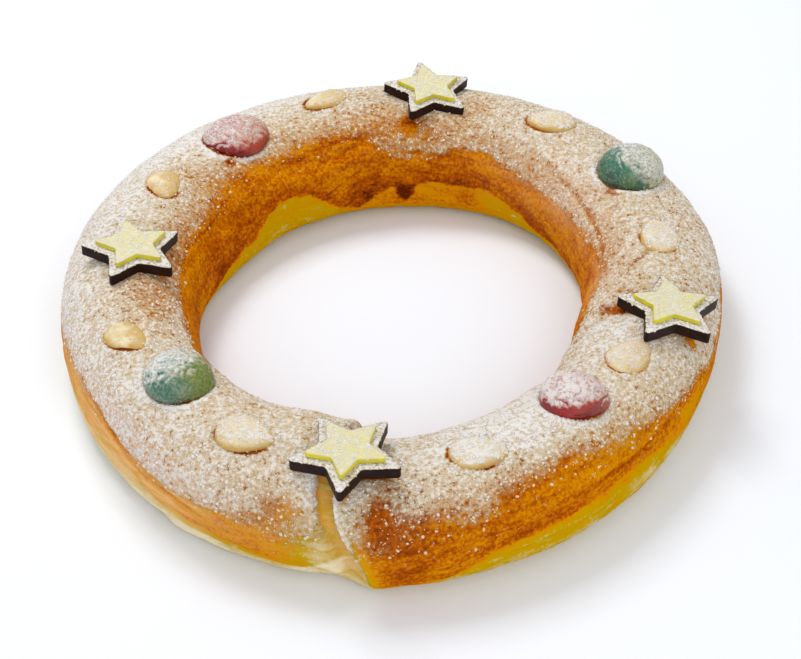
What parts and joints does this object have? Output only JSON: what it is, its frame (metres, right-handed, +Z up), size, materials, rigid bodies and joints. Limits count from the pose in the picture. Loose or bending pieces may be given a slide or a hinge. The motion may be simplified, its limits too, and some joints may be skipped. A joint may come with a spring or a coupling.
{
  "type": "almond Christmas wreath pastry",
  "caption": "Ring of baked yeast dough dusted with icing sugar, topped with chocolate stars, glace cherries and almond halves, for a festive table.",
  "frame": {"origin": "on the ground, under the middle of the wreath's box", "axes": "+Z up through the hole; -Y towards the front, where the roll's two ends meet in the open seam; +X to the right of a viewer at the front"},
  "size_m": [0.2601, 0.2542, 0.0524],
  "materials": {
    "dough": "satin",
    "dark_chocolate": "satin",
    "lemon_chocolate": "satin",
    "red_cherry": "gloss",
    "green_cherry": "gloss",
    "almond": "matte",
    "icing_sugar": "matte"
  },
  "bodies": {
    "root": {"star_front_base": "dark_chocolate", "star_front_top": "lemon_chocolate", "star_right_base": "dark_chocolate", "star_right_top": "lemon_chocolate", "star_back_base": "dark_chocolate", "star_back_top": "lemon_chocolate", "star_left_base": "dark_chocolate", "star_left_top": "lemon_chocolate", "cherry_red_back": "red_cherry", "cherry_red_front": "red_cherry", "cherry_green_back": "green_cherry", "cherry_green_front": "green_cherry", "almond_1": "almond", "almond_2": "almond", "almond_3": "almond", "almond_4": "almond", "almond_5": "almond", "almond_6": "almond", "almond_7": "almond", "almond_8": "almond", "dough_ring": "dough"}
  },
  "joints": []
}
